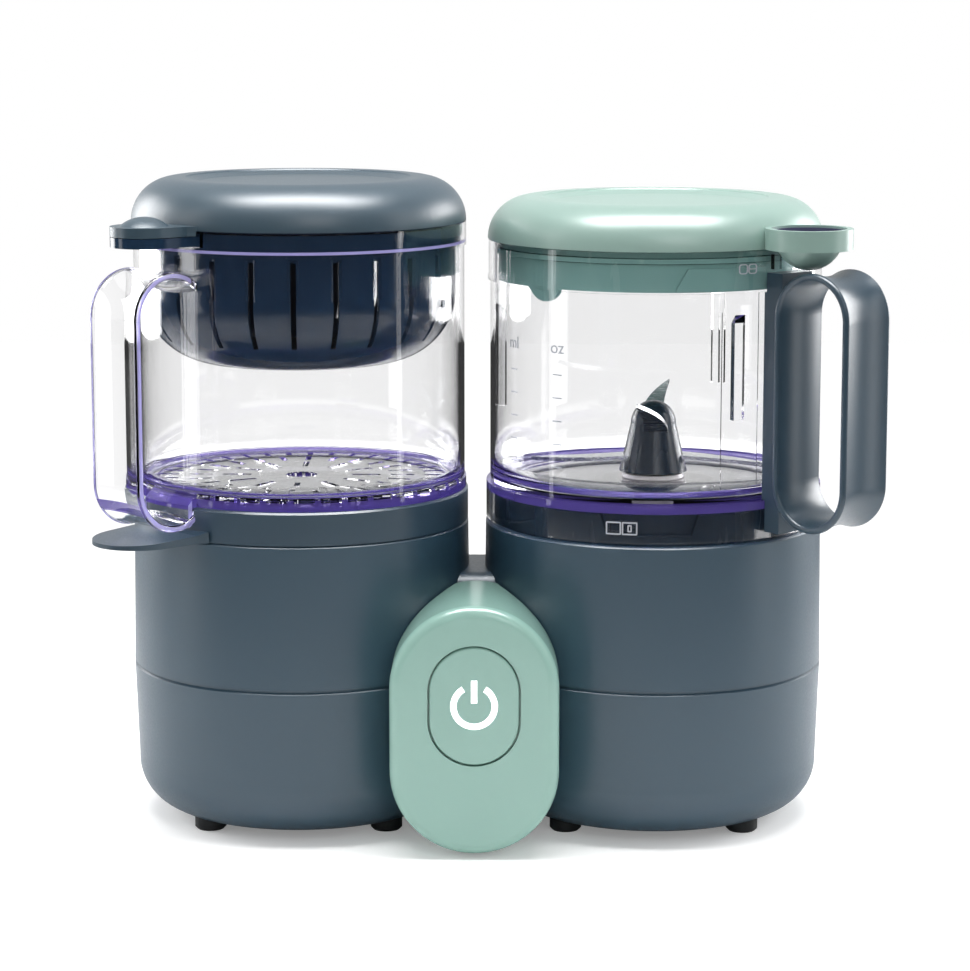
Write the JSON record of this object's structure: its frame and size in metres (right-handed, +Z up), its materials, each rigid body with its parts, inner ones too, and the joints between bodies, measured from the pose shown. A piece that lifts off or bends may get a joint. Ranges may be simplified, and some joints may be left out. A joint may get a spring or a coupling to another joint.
{
  "type": "baby food maker",
  "caption": "Two-bowl baby food maker: a clear steamer bowl with slotted basket and a clear blender bowl with blades, side by side on a round-ended base with a mint button panel.",
  "frame": {"origin": "middle of the whole outline's box, on the floor plane under the feet", "axes": "+X from the steamer towards the blender, +Y towards the back (the panel faces -Y), +Z up"},
  "size_m": [0.2901, 0.1468, 0.2457],
  "materials": {
    "slate_abs": "fine satin moulded ABS",
    "mint_abs": "satin moulded ABS",
    "slate_soft": "moulded polypropylene, low sheen",
    "clear_tritan": "clear copolyester with lilac edges",
    "mint_liner": "moulded polypropylene",
    "violet_liner": "glossy moulding",
    "foot_rubber": "matte rubber",
    "seal_silicone": "soft translucent silicone",
    "steel": "brushed stainless steel",
    "screw_steel": "zinc-plated steel",
    "cast_alloy": "as cast",
    "board": "solder-masked laminate",
    "black_plastic": "moulded nylon",
    "pale_nylon": "moulded acetal",
    "bronze": "sintered bronze",
    "winding": "varnished copper winding on steel",
    "lit_white": "diffusing light guide",
    "lamp": "clear lamp dome"
  },
  "bodies": {
    "base": {"base_lower_shell": "slate_abs", "base_upper_shell": "slate_abs", "rubber_feet": "foot_rubber", "housing_screws": "screw_steel", "control_panel": "mint_abs", "panel_chassis": "black_plastic", "panel_screws": "screw_steel", "control_board": "board", "button_switch": "black_plastic", "symbol_led": "lamp", "power_board": "board", "cord_gland": "foot_rubber", "water_well": "slate_soft", "heater_seal": "seal_silicone", "heating_plate": "steel", "heating_element": "cast_alloy", "thermostat": "black_plastic", "bowl_seat": "slate_soft", "shaft_seal": "foot_rubber", "motor_can": "screw_steel", "motor_mount_plate": "cast_alloy", "motor_screws": "screw_steel", "upper_motor_bearing": "bronze", "lower_motor_bearing": "bronze", "interlock_switch": "black_plastic", "button_spring": "steel"},
    "motor_drive": {"motor_shaft": "steel", "motor_rotor": "winding", "motor_fan": "black_plastic", "drive_coupling": "pale_nylon"},
    "button": {"start_button": "mint_abs", "button_symbol": "lit_white"},
    "bowl_bearing": {"blade_bearing": "pale_nylon", "bearing_seal": "seal_silicone"},
    "blender_jug": {"blender_bowl": "clear_tritan", "blender_handle": "slate_abs"},
    "blade_unit": {"blade_shaft": "steel", "blade_hub": "slate_soft", "lower_blades": "steel", "upper_blades": "steel", "blade_coupling": "pale_nylon"},
    "lid_gasket": {"blender_lid_gasket": "mint_liner"},
    "jug_lid": {"blender_lid": "mint_abs", "blender_lid_liner": "mint_liner", "cup_liner": "violet_liner"},
    "ring": {"drip_ring": "slate_abs"},
    "steamer_jug": {"steamer_bowl": "clear_tritan", "bowl_foot_seal": "seal_silicone"},
    "basket": {"steamer_basket": "slate_soft"},
    "basket_lid": {"steamer_lid": "slate_abs", "steamer_lid_liner": "slate_soft"}
  },
  "joints": [
    {"name": "button_press", "type": "slide", "parent": "base", "child": "button", "axis": [0, 1, 0], "range_m": [0, 0.0015], "stiffness_N_per_m": 1200, "deforming": ["button_spring"]},
    {"name": "motor_spin", "type": "hinge", "parent": "base", "child": "motor_drive", "pos_m": [0.06329, 0.00838, 0.12], "axis": [0, 0, 1], "continuous": true},
    {"name": "jug_lift", "type": "slide", "parent": "base", "child": "bowl_bearing", "axis": [0, 0, 1], "range_m": [0, 0.045]},
    {"name": "jug_twist", "type": "hinge", "parent": "bowl_bearing", "child": "blender_jug", "pos_m": [0.06329, 0.00838, 0.12], "axis": [0, 0, 1], "range_deg": [0, 18]},
    {"name": "blade_spin", "type": "hinge", "parent": "bowl_bearing", "child": "blade_unit", "pos_m": [0.06329, 0.00838, 0.12], "axis": [0, 0, 1], "continuous": true},
    {"name": "jug_lid_lift", "type": "slide", "parent": "blender_jug", "child": "lid_gasket", "axis": [0, 0, 1], "range_m": [0, 0.035]},
    {"name": "jug_lid_twist", "type": "hinge", "parent": "lid_gasket", "child": "jug_lid", "pos_m": [0.06329, 0.00838, 0.12], "axis": [0, 0, 1], "range_deg": [0, 20]},
    {"name": "ring_lift", "type": "slide", "parent": "base", "child": "ring", "axis": [0, 0, 1], "range_m": [0, 0.03]},
    {"name": "steamer_lift", "type": "slide", "parent": "ring", "child": "steamer_jug", "axis": [0, 0, 1], "range_m": [0, 0.04]},
    {"name": "basket_lift", "type": "slide", "parent": "steamer_jug", "child": "basket", "axis": [0, 0, 1], "range_m": [0, 0.07]},
    {"name": "basket_lid_lift", "type": "slide", "parent": "basket", "child": "basket_lid", "axis": [0, 0, 1], "range_m": [0, 0.04]}
  ],
  "couplings": [
    {"joint": "blade_spin", "follows": "motor_spin", "ratio": 1}
  ]
}
